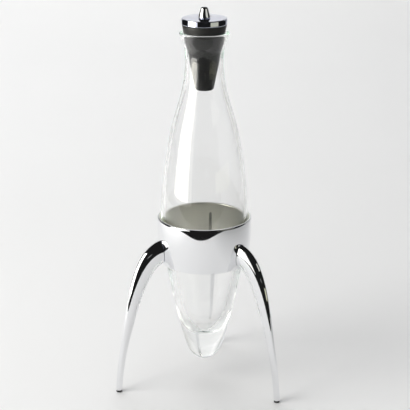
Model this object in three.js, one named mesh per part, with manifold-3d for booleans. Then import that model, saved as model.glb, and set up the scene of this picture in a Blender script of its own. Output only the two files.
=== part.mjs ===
// A footed decanter: a tall pointed glass vessel hangs in a metal ring on three curved legs, and a
// conical stopper with a metal cap closes its flared neck.
// Millimetres, +Z up. The floor is z = 0, the rear leg points along +Y, and the origin lies under the
// middle of the whole object, so the glass's axis stands a little towards -Y from it.
import * as THREE from 'three';
import { mergeVertices } from 'three/addons/utils/BufferGeometryUtils.js';
import Module from 'manifold-3d';

const wasm = await Module();
wasm.setup();

// Gap that neighbouring pieces keep, how far a cutting tool reaches past what it cuts, and how close
// two corners of a mesh lie to count as one
const GAP = 0.3;
const REACH = 10;
const WELD_DISTANCE = 1e-5;

// Legs: where they stand, how they bend, and their section from the ring to the foot
const LEG_ANGLES = { left: -60, right: 60, rear: 180 };
const FOOT_CIRCLE_R = 93;
const LEG_ROOT_DROP = 32.1;
const LEG_ROOT_INSET = 5;
const LEG_SHOULDER_INSET = 16.5;
const LEG_KNEE_Z = 64;
const LEG_ANKLE_INSET = 4.2;
const LEG_DEPTHS = [25.1, 15.6, 6.2, 6.4];
const LEG_WIDTHS = [13, 7.3, 6, 6];
const LEG_SIDES = 14;
const LEG_STEPS = 20;
const FOOT_PAD_D = 6;
const FOOT_PAD_T = 2;

// Glass outline, from its tip upwards through stations. A rise is the height of a station above the
// one before, a slope is the growth of the radius with height, and before and after say how far the
// curves on both sides of a station follow that slope, as shares of their height.
const GLASS_TIP_Z = 23.85;
const NOSE_BLUNTNESS = 0.66;
const NOSE = { r: 24.5, rise: 37.8, slope: 0.24, before: 0.48, after: 0.28 };
const BELLY = { r: 43.45, rise: 122.2, slope: 0, before: 0.33, after: 0.3 };
const SHOULDER = { r: 29.6, rise: 97, slope: -0.3, before: 0.22, after: 0.36 };
const THROAT = { r: 18.75, rise: 58, slope: 0, before: 0.45, after: 0.58 };
const LIP = { r: 24.2, rise: 23.6, slope: 0.26, before: 0.36, after: 0 };
const LIP_ROUND_H = 1.5;
const NECK_WALL = 2.9;
const BODY_WALL = 3.2;
const LOW_WALL = 6;
const BASE_THICKNESS = 29.6;
const CAVITY_FLOOR_R = 11;
const CAVITY_CORNER_H = 14.5;
const CAVITY_THROAT_DROP = 4;
const CAVITY_SHOULDER_DROP = 2;
const CURVE_STEPS = 6;
const GLASS_SIDES = 44;

// Ring that carries the glass, set around the glass where it stands
const RING_TOP_Z = 177.65;
const RING_HEIGHT = 46.6;
const RING_WALL = 3;
const RING_TOP_CLEARANCE = 0.7;
const RING_BOTTOM_CLEARANCE = 1.9;
const RING_BULGE = 2.2;
const RING_RIM_ROUND = 1;
const RING_SIDES = 48;

// Soft strips in grooves inside the ring, which the glass rests on, one in line with each leg
const STRIP_WIDTH = 2.8;
const STRIP_TOP_DROP = 10.5;
const STRIP_BOTTOM_RISE = 6;
const GROOVE_DEPTH = 0.8;

// Countersunk screws that hold the legs, driven from inside the ring under the strips
const SCREW_D = 4;
const SCREW_HEAD_D = 7;
const SCREW_HEAD_SINK = 0.4;
const SCREW_DROP = 1.5;
const SCREW_GRIP = 9.5;
const SCREW_SOCKET_D = 2.9;
const SCREW_SOCKET_DEPTH = 1.5;
const SCREW_SOCKET_FLATS = 6;
const SCREW_RIM_LAND = 0.2;
const SCREW_SIDES = 24;

// Stopper: a soft cone, a metal cap on it, and a knob whose stud runs through the cap into a nut
const PLUG_DEPTH = 56.9;
const PLUG_BOTTOM_R = 8.9;
const PLUG_TAPER = 0.2;
const PLUG_ROUND = 2;
const PLUG_SEAT_H = 18;
const MOUTH_ROUND = 1.4;
const CAP_R = 22.1;
const CAP_T = 6;
const CAP_ROUND = 0.8;
const CAP_LIFT = 7.6;
const KNOB_BASE_R = 6.15;
const KNOB_H = 10.55;
const KNOB_WAIST = { r: 4.6, h: 5.1 };
const KNOB_NOSE = { r: 3.85, h: 8.3 };
const KNOB_CHAMFER = 0.7;
const KNOB_DOME_INSET = 0.5;
const STUD_D = 4;
const STUD_LENGTH = 18;
const NUT_D = 8;
const NUT_H = 8;
const STOPPER_SIDES = 36;

// Materials
const CHROME = { color: 0xdcdde2, roughness: 0.08, metalness: 1 };
const CLEAR_GLASS = { color: 0xe6efe8, roughness: 0.02, metalness: 0, transparent: true, opacity: 0.35 };
const DARK_RUBBER = { color: 0x2b2b2c, roughness: 0.7, metalness: 0 };
const PALE_RUBBER = { color: 0xb9bab0, roughness: 0.5, metalness: 0 };
const STEEL = { color: 0xa9abae, roughness: 0.3, metalness: 1 };
const DARK_PLASTIC = { color: 0x1d1d1e, roughness: 0.5, metalness: 0 };
const BRASS = { color: 0xc2a15a, roughness: 0.3, metalness: 1 };

// Cuts and joins work on solids, and the scene on geometries
function solidOf(geometry) {
  const bare = geometry.clone();
  bare.deleteAttribute('normal');
  bare.deleteAttribute('uv');
  const merged = mergeVertices(bare, WELD_DISTANCE);
  const index = merged.index.array;
  const kept = [];
  for (let i = 0; i < index.length; i += 3) {
    const [a, b, c] = index.slice(i, i + 3);
    if (a !== b && b !== c && c !== a) kept.push(a, b, c);
  }
  const mesh = new wasm.Mesh({
    numProp: 3,
    vertProperties: new Float32Array(merged.attributes.position.array),
    triVerts: new Uint32Array(kept),
  });
  return new wasm.Manifold(mesh);
}

function geometryOf(solid) {
  const mesh = solid.getMesh();
  const geometry = new THREE.BufferGeometry();
  geometry.setAttribute('position', new THREE.BufferAttribute(new Float32Array(mesh.vertProperties), 3));
  geometry.setIndex(new THREE.BufferAttribute(new Uint32Array(mesh.triVerts), 1));
  const flat = geometry.toNonIndexed();
  flat.computeVertexNormals();
  return flat;
}

// A solid turned about Z from an outline of (radius, height) points
function turned(outline, sides) {
  const geometry = new THREE.LatheGeometry(outline, sides);
  geometry.rotateX(Math.PI / 2);
  return solidOf(geometry);
}

function point(r, h) {
  return new THREE.Vector2(r, h);
}

// A quarter round from one point to another, about their shared corner
function corner(from, at, to, steps = 4) {
  return new THREE.QuadraticBezierCurve(from, at, to).getPoints(steps);
}

// Heights of the stations above the glass's tip
const noseH = NOSE.rise;
const bellyH = noseH + BELLY.rise;
const shoulderH = bellyH + SHOULDER.rise;
const throatH = shoulderH + THROAT.rise;
const lipH = throatH + LIP.rise;
const glassH = lipH + LIP_ROUND_H;
const plugBottomH = glassH - PLUG_DEPTH;

// The glass's outer curve, as (radius, height above its tip) points
function glassOuterCurve() {
  const path = new THREE.Path();
  path.moveTo(0, 0);
  path.bezierCurveTo(
    NOSE_BLUNTNESS * NOSE.r, 0,
    NOSE.r - NOSE.before * noseH * NOSE.slope, noseH * (1 - NOSE.before),
    NOSE.r, noseH,
  );
  const stations = [NOSE, BELLY, SHOULDER, THROAT, LIP];
  let low = noseH;
  for (let i = 1; i < stations.length; i += 1) {
    const [a, b] = [stations[i - 1], stations[i]];
    const high = low + b.rise;
    path.bezierCurveTo(
      a.r + a.after * b.rise * a.slope, low + a.after * b.rise,
      b.r - b.before * b.rise * b.slope, high - b.before * b.rise,
      b.r, high,
    );
    low = high;
  }
  return path.getPoints(CURVE_STEPS);
}

const glassOuter = glassOuterCurve();

// Radius of the glass's outside at a height above its tip
function glassRadius(h) {
  const above = glassOuter.findIndex((p) => p.y > h);
  const [a, b] = [glassOuter[above - 1], glassOuter[above]];
  return a.x + ((b.x - a.x) * (h - a.y)) / (b.y - a.y);
}

function glassRadiusAt(z) {
  return glassRadius(z - GLASS_TIP_Z);
}

// The stopper's cone, by its height above the glass's tip
function plugRadius(h) {
  return PLUG_BOTTOM_R + PLUG_TAPER * (h - plugBottomH);
}

// The glass's inner curve from the mouth down to the cavity's floor. The top of it fits the stopper.
function glassInnerCurve() {
  const mouthR = plugRadius(glassH) + GAP;
  const seatEnd = glassH - PLUG_SEAT_H;
  const seatR = plugRadius(seatEnd) + GAP;
  const throat = point(THROAT.r - NECK_WALL, throatH - CAVITY_THROAT_DROP);
  const shoulder = point(SHOULDER.r - BODY_WALL, shoulderH - CAVITY_SHOULDER_DROP);
  const belly = point(BELLY.r - BODY_WALL, bellyH);
  const lowH = BASE_THICKNESS + CAVITY_CORNER_H;
  const low = point(glassRadius(lowH) - LOW_WALL, lowH);
  const path = new THREE.Path();
  path.moveTo(mouthR, glassH - MOUTH_ROUND);
  path.lineTo(seatR, seatEnd);
  const neckRise = throat.y - shoulder.y;
  path.quadraticCurveTo(throat.x, throat.y + CAVITY_THROAT_DROP, throat.x, throat.y);
  path.bezierCurveTo(
    throat.x, throat.y - THROAT.before * neckRise,
    shoulder.x + SHOULDER.after * neckRise * SHOULDER.slope, shoulder.y + SHOULDER.after * neckRise,
    shoulder.x, shoulder.y,
  );
  const upperRise = shoulder.y - belly.y;
  path.bezierCurveTo(
    shoulder.x - SHOULDER.before * upperRise * SHOULDER.slope, shoulder.y - SHOULDER.before * upperRise,
    belly.x, belly.y + BELLY.after * upperRise,
    belly.x, belly.y,
  );
  const lowerRise = belly.y - low.y;
  path.bezierCurveTo(
    belly.x, belly.y - BELLY.before * lowerRise,
    low.x + NOSE.after * lowerRise * NOSE.slope, low.y + NOSE.after * lowerRise,
    low.x, low.y,
  );
  path.bezierCurveTo(
    low.x - NOSE.slope * CAVITY_CORNER_H / 2, low.y - CAVITY_CORNER_H / 2,
    (low.x + CAVITY_FLOOR_R) / 2, BASE_THICKNESS,
    CAVITY_FLOOR_R, BASE_THICKNESS,
  );
  const points = path.getPoints(CURVE_STEPS);
  points.push(point(0, BASE_THICKNESS));
  return points;
}

function glassVessel() {
  const inner = glassInnerCurve();
  const mouth = inner[0];
  const ridge = (LIP.r + mouth.x) / 2;
  const lipOuter = corner(point(LIP.r, lipH), point(LIP.r, glassH), point(ridge, glassH));
  const lipInner = corner(point(ridge, glassH), point(mouth.x, glassH), mouth);
  const outline = [...glassOuter, ...lipOuter.slice(1), ...lipInner.slice(1), ...inner.slice(1)];
  return turned(outline, GLASS_SIDES).translate([0, 0, GLASS_TIP_Z]);
}

// The ring's inner radius at a height above the floor
function ringInnerRadius(z) {
  const bottomZ = RING_TOP_Z - RING_HEIGHT;
  const topR = glassRadiusAt(RING_TOP_Z) + RING_TOP_CLEARANCE;
  const bottomR = glassRadiusAt(bottomZ) + RING_BOTTOM_CLEARANCE;
  const t = (z - bottomZ) / RING_HEIGHT;
  return bottomR + (topR - bottomR) * t + 2 * t * (1 - t) * RING_BULGE;
}

// Points down or up one side of the ring, a given distance out from its inner surface
function ringSide(fromZ, toZ, offset) {
  const points = [];
  for (let i = 0; i <= CURVE_STEPS; i += 1) {
    const z = fromZ + ((toZ - fromZ) * i) / CURVE_STEPS;
    points.push(point(ringInnerRadius(z) + offset, z));
  }
  return points;
}

function ringBody() {
  const bottomZ = RING_TOP_Z - RING_HEIGHT;
  const sideTopZ = RING_TOP_Z - RING_RIM_ROUND;
  const outer = ringSide(bottomZ, sideTopZ, RING_WALL);
  const inner = ringSide(sideTopZ, bottomZ, 0);
  const [outTop, inTop] = [outer[CURVE_STEPS], inner[0]];
  const ridgeR = (outTop.x + inTop.x) / 2;
  const rimOut = corner(outTop, point(outTop.x, RING_TOP_Z), point(ridgeR, RING_TOP_Z));
  const rimIn = corner(point(ridgeR, RING_TOP_Z), point(inTop.x, RING_TOP_Z), inTop);
  return turned([...outer, ...rimOut.slice(1), ...rimIn.slice(1), ...inner.slice(1), outer[0]], RING_SIDES);
}

// A solid of everything inside the ring's wall, out to a distance from its inner surface
function ringFilling(offset) {
  const bottomZ = RING_TOP_Z - RING_HEIGHT;
  const side = ringSide(bottomZ, RING_TOP_Z, offset);
  const foot = point(side[0].x, bottomZ - REACH);
  const head = point(side[CURVE_STEPS].x, RING_TOP_Z + REACH);
  return turned([point(0, foot.y), foot, ...side, head, point(0, head.y)], RING_SIDES);
}

// The space that the glass takes up, with a margin around it
function glassFilling(margin) {
  const side = [];
  for (const p of glassOuter) {
    if (p.y >= noseH && p.y <= shoulderH) side.push(point(p.x + margin, p.y + GLASS_TIP_Z));
  }
  const foot = point(0, side[0].y);
  const head = point(0, side[side.length - 1].y);
  return turned([foot, ...side, head], GLASS_SIDES);
}

// A flat bar with a round top end, standing in the plane of a leg that points along -Y
function roundTopBar(width) {
  const bottomZ = RING_TOP_Z - RING_HEIGHT + STRIP_BOTTOM_RISE - (width - STRIP_WIDTH) / 2;
  const archZ = RING_TOP_Z - STRIP_TOP_DROP - STRIP_WIDTH / 2;
  const outline = new THREE.Shape();
  outline.moveTo(-width / 2, bottomZ);
  outline.lineTo(width / 2, bottomZ);
  outline.lineTo(width / 2, archZ);
  outline.absarc(0, archZ, width / 2, 0, Math.PI, false);
  outline.lineTo(-width / 2, bottomZ);
  const depth = BELLY.r + RING_WALL + REACH;
  const geometry = new THREE.ExtrudeGeometry(outline, { depth, bevelEnabled: false, curveSegments: 8 });
  geometry.rotateX(Math.PI / 2);
  return solidOf(geometry);
}

function stripSolid() {
  const shell = ringFilling(GROOVE_DEPTH - GAP).subtract(glassFilling(GAP));
  return shell.intersect(roundTopBar(STRIP_WIDTH));
}

function grooveSolid() {
  return ringFilling(GROOVE_DEPTH).intersect(roundTopBar(STRIP_WIDTH + 2 * GAP));
}

// The screw runs along -Y. Its outline is (radius, distance from the glass's axis).
const screwZ = RING_TOP_Z - LEG_ROOT_DROP - SCREW_DROP;
const screwHeadAt = ringInnerRadius(screwZ) + GROOVE_DEPTH + SCREW_HEAD_SINK;
const screwTipAt = ringInnerRadius(screwZ) + RING_WALL + SCREW_GRIP;

function alongLeg(outline, sides) {
  const geometry = new THREE.LatheGeometry(outline, sides);
  geometry.rotateX(Math.PI);
  geometry.translate(0, 0, screwZ);
  return solidOf(geometry);
}

function screwShape(margin, headStart, tipEnd) {
  const headR = SCREW_HEAD_D / 2 + margin;
  const shankR = SCREW_D / 2 + margin;
  const coneEnd = screwHeadAt + (SCREW_HEAD_D - SCREW_D) / 2;
  return alongLeg([
    point(0, headStart),
    point(headR, headStart),
    point(headR, screwHeadAt),
    point(shankR, coneEnd),
    point(shankR, tipEnd),
    point(0, tipEnd),
  ], SCREW_SIDES);
}

function screwSolid() {
  const body = screwShape(0, screwHeadAt - SCREW_RIM_LAND, screwTipAt);
  const socketR = SCREW_SOCKET_D / 2;
  const socket = alongLeg([
    point(0, screwHeadAt - REACH),
    point(socketR, screwHeadAt - REACH),
    point(socketR, screwHeadAt + SCREW_SOCKET_DEPTH),
    point(0, screwHeadAt + SCREW_SOCKET_DEPTH),
  ], SCREW_SOCKET_FLATS);
  return body.subtract(socket);
}

function screwRoom() {
  return screwShape(GAP, screwHeadAt - REACH, screwTipAt + GAP);
}

// A point on the curve that a list of control values spans, by repeated blending
function blend(values, t) {
  let row = values;
  while (row.length > 1) {
    const before = row;
    row = before.slice(1).map((value, i) => before[i] + (value - before[i]) * t);
  }
  return row[0];
}

// A leg in its own plane: it leaves the ring level, turns down and ends upright over its foot
function legSolid() {
  const rootZ = RING_TOP_Z - LEG_ROOT_DROP;
  const rootR = ringInnerRadius(rootZ) + RING_WALL - LEG_ROOT_INSET;
  const shoulderR = FOOT_CIRCLE_R - LEG_SHOULDER_INSET;
  const reach = [rootR, shoulderR, shoulderR, FOOT_CIRCLE_R - LEG_ANKLE_INSET, FOOT_CIRCLE_R];
  const heights = [rootZ, rootZ, LEG_KNEE_Z, LEG_KNEE_Z, FOOT_PAD_T];
  const geometry = new THREE.CylinderGeometry(1, 1, 1, LEG_SIDES, LEG_STEPS);
  const position = geometry.attributes.position;
  const step = 1e-3;
  for (let i = 0; i < position.count; i += 1) {
    const t = 0.5 - position.getY(i);
    const [t0, t1] = [Math.max(t - step, 0), Math.min(t + step, 1)];
    const along = point(
      blend(reach, t1) - blend(reach, t0),
      blend(heights, t1) - blend(heights, t0),
    ).normalize();
    const outward = (position.getZ(i) * blend(LEG_DEPTHS, t)) / 2;
    const sideways = (position.getX(i) * blend(LEG_WIDTHS, t)) / 2;
    const r = blend(reach, t) - along.y * outward;
    const z = blend(heights, t) + along.x * outward;
    position.setXYZ(i, sideways, -r, z);
  }
  const floorCut = new THREE.BoxGeometry(4 * FOOT_CIRCLE_R, 4 * FOOT_CIRCLE_R, 2 * REACH);
  floorCut.translate(0, 0, FOOT_PAD_T + GAP - REACH);
  const leg = solidOf(geometry).subtract(ringFilling(RING_WALL + GAP));
  return leg.subtract(solidOf(floorCut)).subtract(screwRoom());
}

function footPad() {
  const outline = [
    point(0, 0),
    point(FOOT_PAD_D / 2, 0),
    point(FOOT_PAD_D / 2, FOOT_PAD_T),
    point(0, FOOT_PAD_T),
  ];
  return turned(outline, LEG_SIDES).translate([0, -FOOT_CIRCLE_R, 0]);
}

// Stopper pieces share the cap's underside as their reference height
const capBottomZ = GLASS_TIP_Z + glassH + CAP_LIFT;
const capTopZ = capBottomZ + CAP_T;
const studR = STUD_D / 2;
const studEndZ = capTopZ + GAP - STUD_LENGTH;

function plugSolid() {
  const bottomZ = GLASS_TIP_Z + plugBottomH;
  const topZ = capBottomZ - GAP;
  const topR = plugRadius(topZ - GLASS_TIP_Z);
  const roundR = plugRadius(plugBottomH + PLUG_ROUND);
  const nutRoomR = NUT_D / 2 + GAP;
  const nutRoomZ = topZ - NUT_H - GAP;
  return turned([
    point(0, bottomZ),
    ...corner(point(PLUG_BOTTOM_R - PLUG_ROUND, bottomZ), point(PLUG_BOTTOM_R, bottomZ),
      point(roundR, bottomZ + PLUG_ROUND)),
    point(topR, topZ),
    point(nutRoomR, topZ),
    point(nutRoomR, nutRoomZ),
    point(studR + GAP, nutRoomZ),
    point(studR + GAP, studEndZ - GAP),
    point(0, studEndZ - GAP),
  ], STOPPER_SIDES);
}

function nutSolid() {
  const topZ = capBottomZ - GAP;
  const [inner, outer] = [studR + GAP, NUT_D / 2];
  const outline = [
    point(inner, topZ - NUT_H),
    point(outer, topZ - NUT_H),
    point(outer, topZ),
    point(inner, topZ),
    point(inner, topZ - NUT_H),
  ];
  return turned(outline, SCREW_SIDES);
}

function capSolid() {
  const holeR = studR + GAP;
  const [low, high] = [capBottomZ, capTopZ];
  return turned([
    point(holeR, low),
    ...corner(point(CAP_R - CAP_ROUND, low), point(CAP_R, low), point(CAP_R, low + CAP_ROUND), 3),
    ...corner(point(CAP_R, high - CAP_ROUND), point(CAP_R, high), point(CAP_R - CAP_ROUND, high), 3),
    point(holeR, high),
    point(holeR, low),
  ], STOPPER_SIDES);
}

function knobSolid() {
  const baseZ = capTopZ + GAP;
  const side = new THREE.SplineCurve([
    point(KNOB_BASE_R, baseZ + KNOB_CHAMFER),
    point(KNOB_WAIST.r, baseZ + KNOB_WAIST.h),
    point(KNOB_NOSE.r, baseZ + KNOB_NOSE.h),
  ]).getPoints(CURVE_STEPS);
  const nose = side[CURVE_STEPS];
  const tip = point(0, baseZ + KNOB_H);
  const shoulder = point(nose.x - KNOB_DOME_INSET, tip.y);
  const dome = new THREE.QuadraticBezierCurve(nose, shoulder, tip).getPoints(CURVE_STEPS);
  return turned([
    point(0, studEndZ),
    point(studR, studEndZ),
    point(studR, baseZ),
    point(KNOB_BASE_R - KNOB_CHAMFER, baseZ),
    ...side,
    ...dome.slice(1),
  ], STOPPER_SIDES / 2);
}

// Each piece becomes a named mesh with its own material, moved so that the object's middle is over
// the origin: with one foot behind and two in front, the glass's axis is a quarter of the foot
// circle's radius off it.
const axisY = -FOOT_CIRCLE_R / 4;
const group = new THREE.Group();

function addPiece(name, solid, look) {
  const mesh = new THREE.Mesh(geometryOf(solid), new THREE.MeshStandardMaterial(look));
  mesh.name = name;
  mesh.position.y = axisY;
  group.add(mesh);
}

let ring = ringBody();
for (const [name, angle] of Object.entries(LEG_ANGLES)) {
  const turn = [0, 0, angle];
  ring = ring.subtract(grooveSolid().rotate(turn)).subtract(screwRoom().rotate(turn));
  addPiece(`leg_${name}`, legSolid().rotate(turn), CHROME);
  addPiece(`leg_screw_${name}`, screwSolid().rotate(turn), STEEL);
  addPiece(`rest_strip_${name}`, stripSolid().rotate(turn), PALE_RUBBER);
  addPiece(`foot_pad_${name}`, footPad().rotate(turn), DARK_PLASTIC);
}
addPiece('stand_ring', ring, CHROME);
addPiece('glass_vessel', glassVessel(), CLEAR_GLASS);
addPiece('stopper_plug', plugSolid(), DARK_RUBBER);
addPiece('stopper_nut', nutSolid(), BRASS);
addPiece('stopper_cap', capSolid(), CHROME);
addPiece('stopper_knob', knobSolid(), CHROME);

export default group;
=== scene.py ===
# %% [markdown]
# # A glass decanter on three legs
# The real object is a pointed glass vessel that hangs in a polished ring on three curved legs, with a
# soft cone, a flat metal cap and a small knob for a stopper. It is nearly all mirror and clear glass,
# so its look comes from smooth surfaces and from what stands around it, more than from paint.
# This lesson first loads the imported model, which fixes every size. Each visible piece is then made
# again with finer curves, given its finish, and tied to the body that it moves with.

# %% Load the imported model
import math

import bpy
from mathutils import Matrix, Vector
from mathutils.geometry import interpolate_bezier


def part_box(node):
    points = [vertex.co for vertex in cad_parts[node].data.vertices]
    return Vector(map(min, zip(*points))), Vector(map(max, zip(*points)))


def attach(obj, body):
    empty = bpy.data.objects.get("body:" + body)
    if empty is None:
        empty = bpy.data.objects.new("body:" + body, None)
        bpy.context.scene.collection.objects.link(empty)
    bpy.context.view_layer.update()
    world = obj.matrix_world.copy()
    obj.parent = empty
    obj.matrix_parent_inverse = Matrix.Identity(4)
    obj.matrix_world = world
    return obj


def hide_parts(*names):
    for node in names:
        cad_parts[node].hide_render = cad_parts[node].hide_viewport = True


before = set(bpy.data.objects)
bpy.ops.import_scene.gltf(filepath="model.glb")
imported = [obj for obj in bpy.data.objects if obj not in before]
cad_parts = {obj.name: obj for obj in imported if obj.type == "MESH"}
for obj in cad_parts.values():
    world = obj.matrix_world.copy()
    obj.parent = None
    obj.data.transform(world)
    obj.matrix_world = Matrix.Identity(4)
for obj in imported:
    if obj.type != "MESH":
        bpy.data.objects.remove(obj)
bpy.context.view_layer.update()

# %% [markdown]
# ## Sizes
# The model was measured in millimetres and Blender works in metres, so every size is written in
# millimetres and multiplied by MM where it is used. GAP is the play between two pieces that meet.
# The glass stands a little in front of the origin, because the origin is under the middle of the
# whole object.

# %% Where the object's axis is
MM = 0.001
GAP = 0.3
AXIS = Vector((0, (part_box("glass_vessel")[0].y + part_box("glass_vessel")[1].y) / 2, 0))
FOOT_CIRCLE_R = 93
LEG_ANGLES = {"left": -60, "right": 60, "rear": 180}
print("the glass's axis is at y =", round(AXIS.y, 5))

# %% [markdown]
# ## Helpers for turned pieces
# Most of the pieces are round, so each is drawn as half an outline and spun, as on a lathe. A plane is
# added and merged to one corner, that corner is extruded from point to point, and the line is spun
# about the axis. Stacked cylinders would be quicker, but mirror metal shows every flat and every seam.

# %% Draw outlines
ROUND_PULL = 0.5523


def curve(start, pull_out, pull_in, end, steps):
    """Points of an outline along one curve, without the first: each is (radius, height)"""
    knots = [Vector((r, 0, h)) for r, h in (start, pull_out, pull_in, end)]
    return [(p.x, p.z) for p in interpolate_bezier(*knots, steps + 1)[1:]]


def straight(start, end, steps):
    """Points of an outline along a line, without the first, so that the shading stays even along it"""
    return [(start[0] + (end[0] - start[0]) * i / steps, start[1] + (end[1] - start[1]) * i / steps)
            for i in range(1, steps + 1)]


def rounding(start, corner, end, steps=6):
    """A quarter round between two points, about the corner where their lines would meet"""
    out = tuple(s + (c - s) * ROUND_PULL for s, c in zip(start, corner))
    back = tuple(e + (c - e) * ROUND_PULL for e, c in zip(end, corner))
    return curve(start, out, back, end, steps)


print("a quarter round is drawn with", len(rounding((0, 0), (1, 0), (1, 1))), "points")

# %% Spin outlines
WELD, ROUND_SIDES = 0.001, 128
SHARP_EDGE = math.radians(40)


def pick(piece):
    """Makes a piece the only one that is selected, and the active one"""
    bpy.ops.object.select_all(action="DESELECT")
    piece.select_set(True)
    bpy.context.view_layer.objects.active = piece


def settle(piece):
    """Puts the piece's place into its mesh and shades it smooth, apart from its sharp edges"""
    pick(piece)
    bpy.ops.object.transform_apply(location=True, rotation=True, scale=True)
    bpy.ops.object.shade_smooth_by_angle(angle=SHARP_EDGE)


def spun(name, outline, sides=ROUND_SIDES, centre=AXIS):
    """Spins an outline of (radius, height) points in millimetres about the upright axis"""
    bpy.ops.object.select_all(action="DESELECT")
    radius, height = outline[0]
    start = centre + Vector((radius * MM, 0, height * MM))
    bpy.ops.mesh.primitive_plane_add(size=MM, location=start)
    piece = bpy.context.object
    piece.name = piece.data.name = name
    bpy.ops.object.mode_set(mode="EDIT")
    bpy.ops.mesh.merge(type="CENTER")
    for (r0, h0), (r1, h1) in zip(outline, outline[1:]):
        step = ((r1 - r0) * MM, 0, (h1 - h0) * MM)
        bpy.ops.mesh.extrude_region_move(TRANSFORM_OT_translate={"value": step})
    bpy.ops.mesh.select_all(action="SELECT")
    bpy.ops.mesh.spin(steps=sides, angle=math.tau, center=centre, axis=(0, 0, 1))
    bpy.ops.mesh.select_all(action="SELECT")
    bpy.ops.mesh.remove_doubles(threshold=WELD * MM)
    bpy.ops.mesh.normals_make_consistent(inside=False)
    bpy.ops.object.mode_set(mode="OBJECT")
    settle(piece)
    return piece


print("turned pieces have", ROUND_SIDES, "sides unless another number is given")

# %% [markdown]
# ## The camera
# The photograph was taken with a long lens from above the front, a little to the object's right. The
# place was found from the ellipses of the ring and the lid and from the three feet.

# %% Place the camera
CAMERA_AWAY, CAMERA_UP = 1.3421, 0.62635
CAMERA_SIDE, CAMERA_DOWN = math.radians(8.77), math.radians(18.0607)
LENS, LENS_SHIFT = 123.91, 0.0015
aim_back = Vector((math.sin(CAMERA_SIDE), -math.cos(CAMERA_SIDE), 0))
bpy.ops.object.camera_add(
    location=AXIS + aim_back * CAMERA_AWAY + Vector((0, 0, CAMERA_UP)),
    rotation=(math.pi / 2 - CAMERA_DOWN, 0, CAMERA_SIDE),
)
camera = bpy.context.object
camera.name = "camera"
camera.data.sensor_width = 36
camera.data.lens = LENS
camera.data.shift_x = LENS_SHIFT
camera.data.clip_end = 50
bpy.context.scene.camera = camera
print("the camera looks down", round(math.degrees(CAMERA_DOWN), 1), "degrees")

# %% [markdown]
# ## The glass vessel
# The vessel is blown glass: thin in the neck, thicker lower down, and almost solid in its point, where
# the drink stops at a flat floor. The inside and the outside are one closed outline, so that light
# bends at both surfaces as it does in the real wall. A single skin would look like a bubble.

# %% Outer outline of the glass
TIP_Z, GLASS_TOP = 23.85, 340.1
NOSE_ROUND = 0.66
STATIONS = [  # radius, height above the tip, slope, and how far the curves below and above follow it
    (24.5, 37.8, 0.24, 0.48, 0.28),
    (43.45, 160, 0, 0.33, 0.3),
    (29.6, 257, -0.3, 0.22, 0.36),
    (18.75, 315, 0, 0.45, 0.58),
    (24.2, 338.6, 0.26, 0.36, 0),
]


def glass_outer():
    """The glass's outside, from its tip up to its lip"""
    nose_r, nose_h, slope, below, _ = STATIONS[0]
    round_end = (NOSE_ROUND * nose_r, 0)
    before_nose = (nose_r - below * nose_h * slope, nose_h * (1 - below))
    points = [(0, 0), *curve((0, 0), round_end, before_nose, (nose_r, nose_h), 20)]
    for (r0, h0, s0, _, above), (r1, h1, s1, below, _) in zip(STATIONS, STATIONS[1:]):
        rise = h1 - h0
        leave = (r0 + above * rise * s0, h0 + above * rise)
        arrive = (r1 - below * rise * s1, h1 - below * rise)
        points += curve((r0, h0), leave, arrive, (r1, h1), 16)
    return points


outer = glass_outer()


def glass_radius(height):
    """The glass's outer radius at a height above its tip"""
    for (r0, h0), (r1, h1) in zip(outer, outer[1:]):
        if h0 <= height <= h1:
            return r0 + (r1 - r0) * (height - h0) / (h1 - h0)


print("widest:", max(r for r, _ in outer), "mm, neck:", round(glass_radius(STATIONS[3][1]), 2), "mm")

# %% Inner outline of the glass, from the mouth down
PLUG_BOTTOM, PLUG_BOTTOM_R, PLUG_TAPER = 283.2, 8.9, 0.2
MOUTH_ROUND, SEAT_H = 1.4, 18
THROAT, SHOULDER, BELLY = (15.85, 311), (26.4, 255), (40.25, 160)
LOW_H, LOW_WALL = 58, 7.6
FLOOR_R, FLOOR_H, FLOOR_BEND_R = 8.8, 33.2, 12.5


def plug_radius(height):
    """The stopper cone's radius at a height above the glass's tip"""
    return PLUG_BOTTOM_R + PLUG_TAPER * (height - PLUG_BOTTOM)


def glass_inner():
    """The glass's inside, from its mouth down to the flat floor where the drink stops"""
    mouth = (plug_radius(GLASS_TOP) + GAP, GLASS_TOP - MOUTH_ROUND)
    seat_end = GLASS_TOP - SEAT_H
    points = [mouth, *straight(mouth, (plug_radius(seat_end) + GAP, seat_end), 18)]
    points += curve(points[-1], (THROAT[0], 316), (THROAT[0], 315), THROAT, 6)
    points += curve(THROAT, (THROAT[0], 285.8), (20.35, 275.2), SHOULDER, 16)
    points += curve(SHOULDER, (32.67, 234.1), (BELLY[0], 188.5), BELLY, 16)
    low = (glass_radius(LOW_H) - LOW_WALL, LOW_H)
    rise = BELLY[1] - low[1]
    below_belly = (BELLY[0], BELLY[1] - 0.33 * rise)
    above_low = (low[0] + 0.0672 * rise, low[1] + 0.28 * rise)
    points += curve(BELLY, below_belly, above_low, low, 16)
    below_low = (low[0] - 2.2, low[1] - 9)
    points += curve(low, below_low, (FLOOR_BEND_R, FLOOR_H), (FLOOR_R, FLOOR_H), 20)
    return points + [(0, FLOOR_H)]


inner = glass_inner()
print("the drink's space is", round(inner[0][1] - FLOOR_H, 1), "mm deep")

# %% Round the lip and spin the glass
GLASS_SIDES = 480


def finished(piece, body, slot, *nodes):
    """Ties a finished piece to its body and hides the nodes that it stands for. The slot is not used"""
    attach(piece, body)
    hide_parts(*nodes)
    triangles = sum(len(p.vertices) - 2 for p in piece.data.polygons)
    print(piece.name, "rides on", body, "with", triangles, "triangles")


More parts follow.
